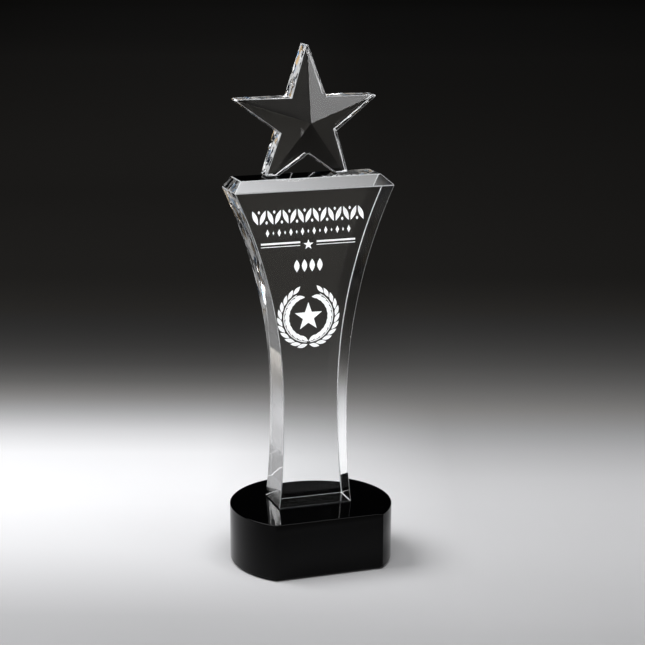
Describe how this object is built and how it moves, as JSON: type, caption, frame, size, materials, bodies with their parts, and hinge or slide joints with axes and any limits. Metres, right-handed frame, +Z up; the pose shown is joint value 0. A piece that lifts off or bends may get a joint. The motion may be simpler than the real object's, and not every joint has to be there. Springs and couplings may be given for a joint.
{
  "type": "star trophy",
  "caption": "Award trophy: a clear faceted crystal star bonded on top of a flared clear crystal tower, standing on a black crystal base with a flat front for engraving.",
  "frame": {"origin": "on the table, under the middle of the trophy's outline", "axes": "+Z up, -Y towards the viewer: the base's flat and the engraved face look along -Y, +X to the viewer's right"},
  "size_m": [0.1, 0.0864, 0.3161],
  "materials": {
    "felt": "matte black felt",
    "black_crystal": "opaque black crystal, mirror polished",
    "tower_crystal": "clear optical crystal, polished all over, frosted engraving on the front",
    "star_crystal": "clear optical crystal, polished facets",
    "adhesive": "cured clear adhesive film"
  },
  "bodies": {
    "root": {"base_pad": "felt", "base": "black_crystal", "tower_bond": "adhesive", "tower": "tower_crystal", "star_bond_left": "adhesive", "star_bond_right": "adhesive", "star": "star_crystal"}
  },
  "joints": []
}
